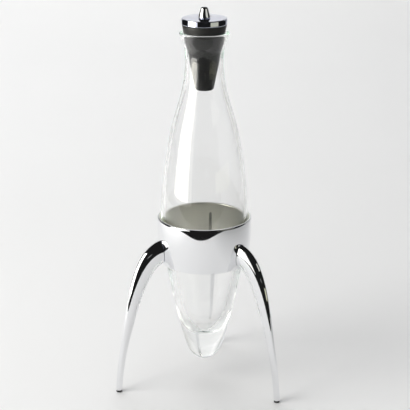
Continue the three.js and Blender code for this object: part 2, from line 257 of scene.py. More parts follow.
lip_r, mouth_r = STATIONS[-1][0], inner[0][0]
ridge = ((lip_r + mouth_r) / 2, GLASS_TOP)
lip = rounding(outer[-1], (lip_r, GLASS_TOP), ridge) + rounding(ridge, (mouth_r, GLASS_TOP), inner[0])
vessel_outline = [(r, h + TIP_Z) for r, h in outer + lip + inner[1:]]
vessel = spun("vessel_glass", vessel_outline, sides=GLASS_SIDES)
finished(vessel, "vessel", "clear_glass", "glass_vessel")

# %% [markdown]
# ## The ring
# The ring is a short polished sleeve that flares with the glass it holds, with a soft rounded rim and a
# faint belly. It is spun like the glass. A groove with a soft strip runs down its inside in line with
# each leg, and a screw goes through the wall there, so both are cut out with tools of their own.
# Near the rim the outside draws in by about a tenth of a millimetre. A straight side would be simpler,
# but the dark patch that it mirrors there would lose its point.

# %% Spin the ring
RING_TOP, RING_BOTTOM, RING_WALL = 177.65, 131.05, 3
TOP_PLAY, BOTTOM_PLAY, RING_BULGE = 0.7, 1.9, 2.2
RIM_ROUND, FOOT_ROUND_OUT, FOOT_ROUND_IN = 1, 0.4, 0.3
EASED_H, EASED, EASED_POWER = 10.5, 0.000003, 4.7
RING_SIDES = 160
top_r = glass_radius(RING_TOP - TIP_Z) + TOP_PLAY
bottom_r = glass_radius(RING_BOTTOM - TIP_Z) + BOTTOM_PLAY


def ring_radius(z):
    """The ring's inner radius at a height above the floor"""
    share = (z - RING_BOTTOM) / (RING_TOP - RING_BOTTOM)
    return bottom_r + (top_r - bottom_r) * share + 2 * share * (1 - share) * RING_BULGE


def ring_side(low, high, offset, steps=24, eased=0.0):
    """Points of the ring's side between two heights, a little eased towards the rim"""
    points = []
    for i in range(steps + 1):
        z = low + (high - low) * i / steps
        near_rim = max(z - (RING_TOP - EASED_H), 0)
        points.append((ring_radius(z) + offset - eased * near_rim ** EASED_POWER, z))
    return points


rim_z = RING_TOP - RIM_ROUND
outside = ring_side(RING_BOTTOM + FOOT_ROUND_OUT, rim_z, RING_WALL, 48, EASED)
inside = ring_side(rim_z, RING_BOTTOM + FOOT_ROUND_IN, 0)
foot_r, out_r, in_r = outside[0][0], outside[-1][0], inside[0][0]
rim_top = ((out_r + in_r) / 2, RING_TOP)
rim = rounding(outside[-1], (out_r, RING_TOP), rim_top)
rim += rounding(rim_top, (in_r, RING_TOP), inside[0])
foot_from = (foot_r - FOOT_ROUND_OUT, RING_BOTTOM)
foot_out = rounding(foot_from, (foot_r, RING_BOTTOM), outside[0], 3)
foot_in = (inside[-1][0] + FOOT_ROUND_IN, RING_BOTTOM)
ring_outline = [foot_in, foot_from, *foot_out[:-1], *outside, *rim[:-1], *inside, foot_in]
ring = spun("ring_sleeve", ring_outline, sides=RING_SIDES)
print("the ring's outer radius is", round(out_r, 2), "mm at the rim")

# %% Tools for the groove and the screw hole
GROOVE_FROM_R, GROOVE_DEPTH, STRIP_WIDTH = 30, 0.8, 2.8
STRIP_LOW, STRIP_HIGH = RING_BOTTOM + 6, RING_TOP - 10.5
SCREW_Z = RING_TOP - 33.6
HEAD_R, SHANK_R = 3.5 + GAP, 2 + GAP
HEAD_SUNK, HEAD_H, HEAD_WAY, SHANK = 1.2, 1.5, 10, 14


def towards(angle, distance, z=0):
    """A place at a distance in millimetres from the glass's axis, at a leg's angle"""
    turn = math.radians(angle)
    return AXIS + Vector((math.sin(turn) * distance * MM, -math.cos(turn) * distance * MM, z * MM))


def level_rod(angle, distance, z, depth, r0, r1=None):
    """A level rod, or a cone where its radii differ, that points away from the axis at a leg's angle"""
    bpy.ops.object.select_all(action="DESELECT")
    place = towards(angle, distance, z)
    turn = (math.pi / 2, 0, math.radians(angle))
    if r1 is None:
        bpy.ops.mesh.primitive_cylinder_add(
            vertices=32, radius=r0 * MM, depth=depth * MM, location=place, rotation=turn)
    else:
        bpy.ops.mesh.primitive_cone_add(
            vertices=32, radius1=r0 * MM, radius2=r1 * MM, depth=depth * MM, location=place, rotation=turn)
    return bpy.context.object


def cut(piece, tool, operation="DIFFERENCE"):
    """Cuts a piece with a tool, or joins them, and throws the tool away"""
    pick(piece)
    modifier = piece.modifiers.new("cut", "BOOLEAN")
    modifier.operation = operation
    modifier.solver = "EXACT"
    modifier.object = tool
    bpy.ops.object.modifier_apply(modifier=modifier.name)
    bpy.data.objects.remove(tool)


def groove_tool(angle):
    """An upright bar with a round top that reaches a little into the ring's wall"""
    width = STRIP_WIDTH + 2 * GAP
    bottom, arch = STRIP_LOW - GAP, STRIP_HIGH - STRIP_WIDTH / 2
    near, far = GROOVE_FROM_R, ring_radius((bottom + arch) / 2) + GROOVE_DEPTH
    place = towards(angle, (near + far) / 2, (bottom + arch) / 2)
    bpy.ops.object.select_all(action="DESELECT")
    bpy.ops.mesh.primitive_cube_add(size=1, location=place, rotation=(0, 0, math.radians(angle)))
    bar = bpy.context.object
    bar.scale = (width * MM, (far - near) * MM, (arch - bottom) * MM)
    bpy.ops.object.transform_apply(location=True, rotation=True, scale=True)
    cut(bar, level_rod(angle, (near + far) / 2, arch, far - near, width / 2), "UNION")
    return bar


def screw_tool(angle):
    """A rod with a wide start and a cone, for the countersunk screw"""
    head_at = ring_radius(SCREW_Z) + HEAD_SUNK
    rod = level_rod(angle, head_at - HEAD_WAY / 2, SCREW_Z, HEAD_WAY, HEAD_R)
    cone_at = head_at + (HEAD_H / 2 - WELD)
    cut(rod, level_rod(angle, cone_at, SCREW_Z, HEAD_H, HEAD_R, SHANK_R), "UNION")
    cut(rod, level_rod(angle, head_at + (SHANK / 2 - 1), SCREW_Z, SHANK, SHANK_R), "UNION")
    return rod


print("the screws lie", round(SCREW_Z, 2), "mm above the floor")

# %% Cut the ring at each leg
for angle in LEG_ANGLES.values():
    cut(ring, groove_tool(angle))
    cut(ring, screw_tool(angle))
settle(ring)
finished(ring, "stand", "chrome", "stand_ring")

# %% [markdown]
# ## The legs
# A leg leaves the ring level, swells out in a shoulder and drops to a slim ankle, like a long tooth.
# It is cast and polished, deeper than wide at the root and nearly round at the foot. An oval is
# extruded along the curve, and at each step it is laid level, scaled and tilted again, so that its
# depth and its width can taper apart. A curve with a round bevel could only scale both together.

# %% The leg's curve
LEG_ROOT_Z = RING_TOP - 32.1
ROOT_R, SHOULDER_R = ring_radius(LEG_ROOT_Z) + RING_WALL - 5, FOOT_CIRCLE_R - 16.5
REACH = [ROOT_R, SHOULDER_R, SHOULDER_R, FOOT_CIRCLE_R - 4.2, FOOT_CIRCLE_R]
HEIGHTS = [LEG_ROOT_Z, LEG_ROOT_Z, 64, 64, 2]
DEPTHS = [25.1, 15.6, 6.2, 6.4]
WIDTHS = [13, 7.3, 6, 6]
LEG_STEPS, NUDGE = 72, 0.001


def blended(values, share):
    """A value on the smooth curve that a list of control values spans"""
    while len(values) > 1:
        values = [a + (b - a) * share for a, b in zip(values, values[1:])]
    return values[0]


def leg_path():
    """Centre, tilt, depth and width of the leg from its root to its foot"""
    rows = []
    for i in range(LEG_STEPS + 1):
        share = i / LEG_STEPS
        early, late = max(share - NUDGE, 0), min(share + NUDGE, 1)
        out = blended(REACH, late) - blended(REACH, early)
        up = blended(HEIGHTS, late) - blended(HEIGHTS, early)
        centre = towards(0, blended(REACH, share), blended(HEIGHTS, share))
        rows.append((centre, math.atan2(up, out), blended(DEPTHS, share), blended(WIDTHS, share)))
    return rows


print("the leg drops from", round(LEG_ROOT_Z, 2), "mm in", LEG_STEPS, "steps")

# %% Extrude one leg along its curve
LEG_SIDES, QUARTER_TURN = 48, math.pi / 2


def turn_across(angle, pivot):
    """Tilts what is selected about the leg's cross direction"""
    bpy.ops.transform.rotate(value=angle, orient_axis="X", center_override=pivot)


def extruded_leg():
    """The front leg, still whole at both ends"""
    rows = leg_path()
    centre, tilt, depth, width = rows[0]
    bpy.ops.object.select_all(action="DESELECT")
    bpy.ops.mesh.primitive_circle_add(
        vertices=LEG_SIDES, radius=0.5 * MM, fill_type="NGON", location=centre)
    leg = bpy.context.object
    bpy.ops.object.mode_set(mode="EDIT")
    bpy.ops.mesh.select_all(action="SELECT")
    bpy.ops.transform.resize(value=(width, depth, 1), center_override=centre)
    turn_across(QUARTER_TURN + tilt, centre)
    for before, after in zip(rows, rows[1:]):
        bpy.ops.mesh.extrude_region_move(TRANSFORM_OT_translate={"value": after[0] - before[0]})
        turn_across(-(QUARTER_TURN + before[1]), after[0])
        growth = (after[3] / before[3], after[2] / before[2], 1)
        bpy.ops.transform.resize(value=growth, center_override=after[0])
        turn_across(QUARTER_TURN + after[1], after[0])
    bpy.ops.mesh.select_all(action="SELECT")
    bpy.ops.mesh.normals_make_consistent(inside=False)
    bpy.ops.object.mode_set(mode="OBJECT")
    settle(leg)
    return leg


one_leg = extruded_leg()
leg_reach = (AXIS.y - min(v.co.y for v in one_leg.data.vertices)) / MM
print("the leg reaches", round(leg_reach, 1), "mm from the axis")

# %% Trim the leg at the ring and at its pad, and copy it to its three places
PAD_T = 2
REACH_PAST, TRIM = 12, 20
hull_side = ring_side(RING_BOTTOM, RING_TOP, RING_WALL + GAP)
hull_low, hull_high = RING_BOTTOM - REACH_PAST, RING_TOP + REACH_PAST
ring_hull = [(0, hull_low), (hull_side[0][0], hull_low), *hull_side,
             (hull_side[-1][0], hull_high), (0, hull_high)]
cut(one_leg, spun("ring_hull", ring_hull, sides=RING_SIDES))
cut(one_leg, screw_tool(0))
bpy.ops.object.select_all(action="DESELECT")
under_foot = towards(0, FOOT_CIRCLE_R, PAD_T + GAP - TRIM / 2)
bpy.ops.mesh.primitive_cube_add(size=TRIM * MM, location=under_foot)
cut(one_leg, bpy.context.object)
for side, angle in LEG_ANGLES.items():
    pick(one_leg)
    bpy.ops.object.duplicate()
    leg = bpy.context.object
    leg.name = leg.data.name = "polished_leg_" + side
    round_to_place = Matrix.Translation(AXIS) @ Matrix.Rotation(math.radians(angle), 4, "Z")
    leg.data.transform(round_to_place @ Matrix.Translation(-AXIS))
    settle(leg)
    finished(leg, "stand", "chrome", "leg_" + side)
bpy.data.objects.remove(one_leg)

# %% [markdown]
# ## The foot pads
# Each foot stands on a small dark pad, a moulded disc with softened edges. A cylinder with a bevel
# would look the same, but the outline is already in hand, so the pads are turned like the rest.

# %% Turn the pads
PAD_R, PAD_ROUND_LOW, PAD_ROUND_HIGH = 3, 0.4, 0.3
pad_low, pad_high = (PAD_R - PAD_ROUND_LOW, 0), (PAD_R, PAD_T - PAD_ROUND_HIGH)
pad_outline = [
    (0, 0), pad_low, *rounding(pad_low, (PAD_R, 0), (PAD_R, PAD_ROUND_LOW), 3),
    pad_high, *rounding(pad_high, (PAD_R, PAD_T), (PAD_R - PAD_ROUND_HIGH, PAD_T), 3), (0, PAD_T),
]
for side, angle in LEG_ANGLES.items():
    place = towards(angle, FOOT_CIRCLE_R)
    pad = spun("foot_pad_disc_" + side, pad_outline, sides=48, centre=place)
    finished(pad, "stand", "dark_plastic", "foot_pad_" + side)

# %% [markdown]
# ## The stopper
# The cone is soft and dark and narrows downwards into the neck. Its top spreads almost to the edge of
# the flat cap above it. The cap is a thick disc with fine rounded edges, and the knob is a small
# tapered button whose stud runs down through the cap. One outline could hold all three, but they are
# separate pieces with finishes of their own, so each is turned alone, with a gap where they meet.

# %% Turn the cone
STANDS_OUT, CAP_T, STUD_LENGTH = 7.6, 6, 18
CAP_LOW = GLASS_TOP + TIP_Z + STANDS_OUT
CAP_HIGH = CAP_LOW + CAP_T
STUD_R, STUD_LOW = 2, CAP_HIGH + GAP - STUD_LENGTH
CONE_ROUND, NUT_ROOM_R, NUT_ROOM_H = 2, 4.3, 8.3
hole_r = STUD_R + GAP

cone_low, cone_high = PLUG_BOTTOM + TIP_Z, CAP_LOW - GAP
rim_r = plug_radius(cone_high - TIP_Z)
side_low = (plug_radius(PLUG_BOTTOM + CONE_ROUND), cone_low + CONE_ROUND)
side_high = (rim_r - 0.1, cone_high - 0.4)
cone_outline = [
    (0, cone_low), (PLUG_BOTTOM_R - CONE_ROUND, cone_low),
    *rounding((PLUG_BOTTOM_R - CONE_ROUND, cone_low), (PLUG_BOTTOM_R, cone_low), side_low),
    *straight(side_low, side_high, 20),
    *rounding(side_high, (rim_r, cone_high), (rim_r - 0.5, cone_high), 3),
    (NUT_ROOM_R, cone_high), (NUT_ROOM_R, cone_high - NUT_ROOM_H), (hole_r, cone_high - NUT_ROOM_H),
    (hole_r, STUD_LOW - GAP), (0, STUD_LOW - GAP),
]
cone = spun("stopper_cone", cone_outline)
finished(cone, "stopper", "dark_rubber", "stopper_plug")

# %% Turn the cap
CAP_R, CAP_ROUND = 22.1, 0.8
cap_in_r, cap_side = CAP_R - CAP_ROUND, ((CAP_R, CAP_LOW + CAP_ROUND), (CAP_R, CAP_HIGH - CAP_ROUND))
cap_outline = [
    (hole_r, CAP_LOW), (cap_in_r, CAP_LOW),
    *rounding((cap_in_r, CAP_LOW), (CAP_R, CAP_LOW), cap_side[0]),
    *straight(*cap_side, 12),
    *rounding(cap_side[1], (CAP_R, CAP_HIGH), (cap_in_r, CAP_HIGH)),
    (hole_r, CAP_HIGH), (hole_r, CAP_LOW),
]
cap = spun("stopper_disc", cap_outline, sides=RING_SIDES)
finished(cap, "stopper", "chrome", "stopper_cap")

# %% Turn the knob and its stud
KNOB_R, KNOB_ROUND, KNOB_H = 6.15, 0.7, 10.55
knob_low = CAP_HIGH + GAP
knob_wide, waist = (KNOB_R, knob_low + KNOB_ROUND), (3.85, knob_low + 8.3)
side_line = curve(knob_wide, (5.55, knob_low + 2.3), (4.3, knob_low + 6.6), waist, 16)
dome = curve(side_line[-1], (3.5, knob_low + 9.9), (2.3, knob_low + KNOB_H), (0, knob_low + KNOB_H), 16)
knob_outline = [
    (0, STUD_LOW), (STUD_R, STUD_LOW), (STUD_R, knob_low), (KNOB_R - KNOB_ROUND, knob_low), knob_wide,
    *side_line, *dome,
]
knob = spun("stopper_button", knob_outline, sides=96)
finished(knob, "stopper", "chrome", "stopper_knob")

# %% [markdown]
# ## Helpers for finishes
# A finish is a small net of nodes, and the same few steps come back in all of them, such as noise and
# the range that it is brought into. One helper for each step keeps every finish short. A node group
# would do the same, but it hides its numbers.

# %% Start a finish, and draw noise on it
NOISE_LOW, NOISE_HIGH = 0.3, 0.7


def new_material(name):
    """A material with its shader and object coordinates ready to use"""
    material = bpy.data.materials.new(name)
    material.use_nodes = True
    nodes, links = material.node_tree.nodes, material.node_tree.links
    where = nodes.new("ShaderNodeTexCoord").outputs["Object"]
    return material, nodes, links, nodes["Principled BSDF"], where


def noise(nodes, links, where, scale, detail, stretch=(1, 1, 1)):
    """Noise on object coordinates, stretched by a mapping"""
    mapping = nodes.new("ShaderNodeMapping")
    mapping.inputs["Scale"].default_value = stretch
    texture = nodes.new("ShaderNodeTexNoise")
    texture.inputs["Scale"].default_value = scale
    texture.inputs["Detail"].default_value = detail
    links.new(where, mapping.inputs["Vector"])
    links.new(mapping.outputs["Vector"], texture.inputs["Vector"])
    return texture.outputs["Fac"]


def ranged(nodes, links, value, start, end, low, high):
    """Maps a value between two limits onto a range, and holds it outside them"""
    mapped = nodes.new("ShaderNodeMapRange")
    for socket, number in zip(("From Min", "From Max", "To Min", "To Max"), (start, end, low, high)):
        mapped.inputs[socket].default_value = number
    links.new(value, mapped.inputs["Value"])
    return mapped.outputs["Result"]


def spread(nodes, links, value, low, high):
    """Maps noise, which stays near its middle, onto a range"""
    return ranged(nodes, links, value, NOISE_LOW, NOISE_HIGH, low, high)


print("noise is spread from", NOISE_LOW, "to", NOISE_HIGH)

# %% [markdown]
# ## Polished metal
# The ring, legs, cap and knob are bright plated castings. Polished metal has almost no colour of its
# own, so its life comes from tiny differences in gloss, faint wiping marks and the slight waviness
# that casting and polishing leave. All of it is kept very small, or the reflections would break up.
# The inside of the ring is satin, so it gives back a soft light. The hidden nut is turned brass.
# The cap's plating is painted darker and bluer than the rest, as painted shade on its reflections.

# %% Polished, satin and steel
WIPED_SCALE, WAVE_SCALE = 900, 22


def bumped(nodes, links, shader, height, distance):
    """Raises the surface by a height in metres"""
    bump = nodes.new("ShaderNodeBump")
    bump.inputs["Strength"].default_value = 1
    bump.inputs["Distance"].default_value = distance
    links.new(height, bump.inputs["Height"])
    links.new(bump.outputs["Normal"], shader.inputs["Normal"])


def polished_metal(name, colour, low, high, wave):
    """Bare or plated metal between two roughnesses, with waves of a height in metres"""
    material, nodes, links, shader, where = new_material(name)
    shader.inputs["Base Color"].default_value = (*colour, 1)
    shader.inputs["Metallic"].default_value = 1
    wiped = noise(nodes, links, where, WIPED_SCALE, 3, (1, 1, 0.15))
    links.new(spread(nodes, links, wiped, low, high), shader.inputs["Roughness"])
    bumped(nodes, links, shader, noise(nodes, links, where, WAVE_SCALE, 1), wave)
    return material


polished = polished_metal("polished_plating", (0.88, 0.885, 0.9), 0.015, 0.05, 0.00002)
# Painted shade: the cap's copy of the plating is darker and bluer, so its reflections come out dimmer than
# the knob's.
lid_metal_with_painted_shade = polished_metal("lid_plating_with_painted_shade", (0.66, 0.68, 0.79), 0.02, 0.06, 0.00001)
satin = polished_metal("satin_plating", (0.75, 0.745, 0.69), 0.275, 0.285, 0.00001)
steel = polished_metal("satin_steel", (0.62, 0.63, 0.64), 0.2, 0.32, 0.00001)
turned_brass = polished_metal("turned_brass", (0.76, 0.6, 0.3), 0.18, 0.3, 0.00001)
print("metals:", polished.name, satin.name, lid_metal_with_painted_shade.name, steel.name, turned_brass.name)

# %% [markdown]
# ## Clear glass
# Clear glass is only seen by what it bends and mirrors, so the shader needs a true index and smooth
# walls. Thick soda glass is faintly green, which shows at the edges where one looks along the wall.
# A weak absorption inside gives that, where a tinted surface would grey the whole vessel.

# %% Clear glass
GLASS_INDEX = 1.5
GLASS_SMEAR = 0.004
GLASS_GREEN, GREEN_DENSITY = (0.55, 0.85, 0.7, 1), 0.9


def clear_glass():
    """Soda glass with a trace of smear on it and a faint green inside"""
    material, nodes, links, shader, where = new_material("clear_soda_glass")
    shader.inputs["Base Color"].default_value = (1, 1, 1, 1)
    shader.inputs["Transmission Weight"].default_value = 1
    shader.inputs["IOR"].default_value = GLASS_INDEX
    smear = noise(nodes, links, where, 40, 2)
    links.new(spread(nodes, links, smear, 0, GLASS_SMEAR), shader.inputs["Roughness"])
    depth = nodes.new("ShaderNodeVolumeAbsorption")
    depth.inputs["Color"].default_value = GLASS_GREEN
    depth.inputs["Density"].default_value = GREEN_DENSITY
    links.new(depth.outputs["Volume"], nodes["Material Output"].inputs["Volume"])
    return material


glass = clear_glass()
print(glass.name, "bends light by", GLASS_INDEX)

# %% [markdown]
# ## Soft and moulded parts
# The stopper's cone is dark rubber with a fine dull skin. The strips inside the ring are pale and
# smoother, and the pads under the feet are dark moulded plastic. Rubber is never quite even, so its
# colour and gloss drift a little and its skin has a very fine grain.

# %% Rubber and plastic
DRIFT_SCALE, GLOSS_SCALE = 120, 300
GRAIN = 0.00001


def moulded(name, dark, light, low, high, grain_scale):
    """Rubber or plastic between two colours and two roughnesses, with a fine grain"""
    material, nodes, links, shader, where = new_material(name)
    colours = nodes.new("ShaderNodeValToRGB")
    for stop, colour, position in zip(colours.color_ramp.elements, (dark, light), (0.35, 0.65)):
        stop.color = (*colour, 1)
        stop.position = position
    links.new(noise(nodes, links, where, DRIFT_SCALE, 4), colours.inputs["Fac"])
    links.new(colours.outputs["Color"], shader.inputs["Base Color"])
    gloss = spread(nodes, links, noise(nodes, links, where, GLOSS_SCALE, 2), low, high)
    links.new(gloss, shader.inputs["Roughness"])
    bumped(nodes, links, shader, noise(nodes, links, where, grain_scale, 2), GRAIN)
    return material


dark_rubber = moulded(
    "dark_rubber_skin", (0.012, 0.012, 0.0115), (0.018, 0.018, 0.017), 0.38, 0.5, 2500)
pale_rubber = moulded("pale_rubber_skin", (0.42, 0.43, 0.39), (0.5, 0.5, 0.46), 0.3, 0.4, 1800)
pad_plastic = moulded(
    "dark_moulded_plastic", (0.012, 0.012, 0.013), (0.02, 0.02, 0.022), 0.35, 0.5, 2000)
print("soft finishes:", dark_rubber.name, pale_rubber.name, pad_plastic.name)

# %% [markdown]
# ## Finishes on the pieces
# Each piece gets one finish, apart from the ring, which is polished outside and satin inside. Its
# faces are told apart by their distance from the axis. A second piece for the inside would leave a
# seam on the rim. The screws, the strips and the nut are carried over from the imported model.

# %% Give every piece its finish
def wear(piece, material):
    """Makes a material the only one on a piece"""
    piece.data.materials.clear()
    piece.data.materials.append(material)


wear(ring, polished)
ring.data.materials.append(satin)
for face in ring.data.polygons:
    radius = (face.center - AXIS).xy.length / MM
    if radius < ring_radius(face.center.z / MM) + RING_WALL / 2:
        face.material_index = 1
wear(knob, polished)
wear(cap, lid_metal_with_painted_shade)
wear(vessel, glass)
wear(cone, dark_rubber)
wear(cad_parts["stopper_nut"], turned_brass)
for side in LEG_ANGLES:
    wear(bpy.data.objects["polished_leg_" + side], polished)
    wear(bpy.data.objects["foot_pad_disc_" + side], pad_plastic)
    wear(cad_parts["leg_screw_" + side], steel)
    wear(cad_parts["rest_strip_" + side], pale_rubber)

# %% [markdown]
# ## The paper
# Mirror metal and clear glass show the whole room, so the room is built. The object stands on a roll
# of pale paper that ends half a metre in front of it and rises into a sweep behind it. A plain white
# room would be simpler, but the metal would go flat and grey: the roll's front edge draws the dark
# patches on the ring and the legs. Beside the camera's view the paper carries painted light and shade
# as well as its faint clouds. Painted shade makes it darker at the front right. A pool of painted light
# at the front left shows only in mirrors, and the back corners are lit only for glass, whose edge bends
# its view aside. The Light Path node tells these views apart.

# %% The paper's tone and painted shade
PAPER_TONES, SHADED = (0.86, 0.88), 0.68


def worked_out(nodes, links, operation, *terms):
    """What a sum gives, where each term is a node's output or a plain number"""
    node = nodes.new("ShaderNodeMath")
    node.operation = operation
    for socket, term in zip(node.inputs, terms):
        if isinstance(term, (int, float)):
            socket.default_value = term
        else:
            links.new(term, socket)
    return node.outputs["Value"]


def paper_tone_and_shade(nodes, links, where, axes):
    """The colour of paper with faint clouds, and painted shade that makes it darker at the front right"""
    clouds = nodes.new("ShaderNodeValToRGB")
    for stop, grey in zip(clouds.color_ramp.elements, PAPER_TONES):
        stop.color = (grey, grey, grey, 1)
    links.new(noise(nodes, links, where, 3, 1), clouds.inputs["Fac"])
    # Painted shade: the colour is scaled down to SHADED towards the front right, and back up further back.
    by_side = ranged(nodes, links, axes["X"], 0.22, 0.55, 1, SHADED)
    by_depth = ranged(nodes, links, axes["Y"], 0.2, 0.7, SHADED, 1)
    shade = nodes.new("ShaderNodeVectorMath")
    shade.operation = "SCALE"
    links.new(clouds.outputs["Color"], shade.inputs[0])
    links.new(worked_out(nodes, links, "MAXIMUM", by_side, by_depth), shade.inputs["Scale"])
    return shade.outputs["Vector"]


print("the paper's tones are", *PAPER_TONES, "and", SHADED, "of them at the front right")

# %% The light on the paper
POOL_LEVEL, LEFT_LEVEL, RIGHT_LEVEL = 0.3, 0.12, 0.25
ACROSS, LEFT_FROM, LEFT_FULL = (1, 0.3065, 0), -0.38, -0.7


def paper_light(nodes, links, where, axes):
    """The strength of the pool at the left that mirrors see, and of the corners that glass sees"""
    across = nodes.new("ShaderNodeVectorMath")
    across.operation = "DOT_PRODUCT"
    across.inputs[1].default_value = ACROSS
    links.new(where, across.inputs[0])
    place = across.outputs["Value"]
    path = nodes.new("ShaderNodeLightPath").outputs
    pool_side = ranged(nodes, links, place, LEFT_FROM, LEFT_FULL, 0, POOL_LEVEL)
    pool_front = ranged(nodes, links, axes["Y"], 0.1, 0.4, POOL_LEVEL, 0)
    pool = worked_out(nodes, links, "MINIMUM", pool_side, pool_front)
    in_mirrors = ranged(nodes, links, path["Glossy Depth"], 0, 1, 0, 1)
    mirrored = worked_out(nodes, links, "MULTIPLY", pool, in_mirrors)
    right = ranged(nodes, links, axes["X"], 0.35, 0.75, 0, RIGHT_LEVEL)
    left = ranged(nodes, links, place, LEFT_FROM, LEFT_FULL, 0, LEFT_LEVEL)
    sides = worked_out(nodes, links, "MAXIMUM", right, left)
    back = ranged(nodes, links, axes["Y"], 0.1, 0.5, 0, RIGHT_LEVEL)
    corners = worked_out(nodes, links, "MINIMUM", sides, back)
    return worked_out(nodes, links, "MULTIPLY_ADD", corners, path["Is Transmission Ray"], mirrored)


print("mirrors see a pool of", POOL_LEVEL, "and glass sees corners of", LEFT_LEVEL, "and", RIGHT_LEVEL)

# %% The paper's finish
PAPER_LIGHT = (1, 0.985, 0.94, 1)


def make_matt(shader):
    """Takes the gloss off a finish"""
    shader.inputs["Roughness"].default_value = 1
    shader.inputs["Specular IOR Level"].default_value = 0


def paper_finish(name):
    """Matt pale paper with its tones, and the painted light and shade that lie beside the camera's view"""
    material, nodes, links, shader, where = new_material(name)
    split = nodes.new("ShaderNodeSeparateXYZ")
    links.new(where, split.inputs["Vector"])
    links.new(paper_tone_and_shade(nodes, links, where, split.outputs), shader.inputs["Base Color"])
    shader.inputs["Emission Color"].default_value = PAPER_LIGHT
    links.new(paper_light(nodes, links, where, split.outputs), shader.inputs["Emission Strength"])
    make_matt(shader)
    return material


paper = paper_finish("pale_paper")
print(paper.name, "is drawn with", len(paper.node_tree.nodes), "nodes")

# %% Flat sheets and sweeps
TABLE_EDGE, SWEEP_AT = -0.49, 2.6
BACK_HIGH, BACK_CURVE, CLOSE = 2.2, 0.9, 0.01


def flat_sheet(name, material, centre, size, turn=(0, 0, 0)):
    """A flat sheet of the studio, with its place in its mesh"""
    bpy.ops.object.select_all(action="DESELECT")
    bpy.ops.mesh.primitive_plane_add(size=1, location=centre, rotation=turn)
    sheet = bpy.context.object
    sheet.name = sheet.data.name = name
    sheet.scale = (*size, 1)
    bpy.ops.object.transform_apply(location=True, rotation=True, scale=True)
    wear(sheet, material)
    return sheet


def select_back_edge(sheet):
    """Selects the edge at the foot of the sheet's back, and stays in edit mode"""
    bpy.ops.object.mode_set(mode="EDIT")
    bpy.ops.mesh.select_all(action="DESELECT")
    bpy.ops.mesh.select_mode(type="EDGE")
    bpy.ops.object.mode_set(mode="OBJECT")
    for edge in sheet.data.edges:
        ends = [sheet.data.vertices[v].co for v in edge.vertices]
        edge.select = all(end.y > SWEEP_AT - CLOSE and end.z < CLOSE for end in ends)
    bpy.ops.object.mode_set(mode="EDIT")


def sweep(name, x0, x1, front=TABLE_EDGE):
    """A strip of paper that lies flat from its front and rises in a curve at the back"""
    centre = ((x0 + x1) / 2, (front + SWEEP_AT) / 2, 0)
    sheet = flat_sheet(name, paper, centre, (x1 - x0, SWEEP_AT - front))
    select_back_edge(sheet)
    bpy.ops.mesh.extrude_region_move(TRANSFORM_OT_translate={"value": (0, 0, BACK_HIGH)})
    select_back_edge(sheet)
    bpy.ops.mesh.bevel(offset=BACK_CURVE, segments=24, affect="EDGES")
    bpy.ops.object.mode_set(mode="OBJECT")
    settle(sheet)
    return sheet


print("the sweep rises", BACK_HIGH, "m at", SWEEP_AT, "m behind the origin")

# %% Lay the paper
PAPER_SIDE, ROOM_SIDE, BACK_FROM = 0.86, 3.5, 1.6
SHELF_SIDE, SHELF_FROM = 1.15, 0.8


def board(name, material, centre, size, turn=(0, 0, 0)):
    """A flat board that only mirrors and glass can see"""
    flat = flat_sheet(name, material, centre, size, turn)
    flat.visible_camera = flat.visible_diffuse = flat.visible_shadow = False
    return flat


sweep("paper_roll", -PAPER_SIDE, PAPER_SIDE)
for name, x0, x1 in (("wide_left", -ROOM_SIDE, -PAPER_SIDE), ("wide_right", PAPER_SIDE, ROOM_SIDE)):
    sweep(name, x0, x1).visible_glossy = False
    back = sweep(name + "_back", x0, x1, BACK_FROM)
    back.visible_camera = back.visible_diffuse = back.visible_transmission = back.visible_shadow = False
for x0, x1 in ((-SHELF_SIDE, -PAPER_SIDE), (PAPER_SIDE, SHELF_SIDE)):
    centre = ((x0 + x1) / 2, (SHELF_FROM + BACK_FROM) / 2, 0)
    shelf = board("paper_shelf", paper, centre, (x1 - x0, BACK_FROM - SHELF_FROM))
    shelf.visible_transmission = False
print("mirrors see a roll", 2 * PAPER_SIDE, "m wide beside the object")

# %% [markdown]
# ## The boards
# A bright soft box stands at the front left inside a dimmer rim, and draws the white bars on the
# glass, the legs and the cap. Two pale reflectors stand at the front right, a narrow strip stands
# under the camera, and dark boards close the room. Lamps that mirrors see would be simpler, but they
# have no soft rim. Seen straight through clear glass the boards would make it smoky, so a board
# shows only after a mirror's bounce, and the paper in front only before one. The walls of glass on
# the way are counted as well, to keep the soft box faint where the glass's far wall mirrors it.

# %% Finishes that mirrors see
DARK = 0.012
FAR_WALL, FAR_WALL_REACH, FAR_WALL_SHARE = 5, 2.5, 0.15


def only_seen(material, in_mirrors):
    """Lets a finish show only after a mirror's bounce, or only before one, so that glass stays clear"""
    nodes, links = material.node_tree.nodes, material.node_tree.links
    path = nodes.new("ShaderNodeLightPath")
    clear = nodes.new("ShaderNodeBsdfTransparent")
    choice = nodes.new("ShaderNodeMixShader")
    finish = nodes["Principled BSDF"]
    before, after = (clear, finish) if in_mirrors else (finish, clear)
    links.new(path.outputs["Glossy Depth"], choice.inputs["Fac"])
    links.new(before.outputs[0], choice.inputs[1])
    links.new(after.outputs[0], choice.inputs[2])
    links.new(choice.outputs[0], nodes["Material Output"].inputs["Surface"])
    return material


def glow(name, level, colour=(1, 1, 1), far_wall=1):
    """A glow that mirrors see, the glass's far wall by a share of it, and matt things not at all"""
    material, nodes, links, shader, where = new_material(name)
    shader.inputs["Base Color"].default_value = (0, 0, 0, 1)
    shader.inputs["Emission Color"].default_value = (*colour, 1)
    make_matt(shader)
    path = nodes.new("ShaderNodeLightPath").outputs
    direct = ranged(nodes, links, path["Diffuse Depth"], 0, 1, level, 0)
    walls = path["Transmission Depth"]
    by_far_wall = worked_out(nodes, links, "COMPARE", walls, FAR_WALL, FAR_WALL_REACH)
    share = ranged(nodes, links, by_far_wall, 0, 1, 1, far_wall)
    strength = worked_out(nodes, links, "MULTIPLY", direct, share)
    links.new(strength, shader.inputs["Emission Strength"])
    return only_seen(material, True)


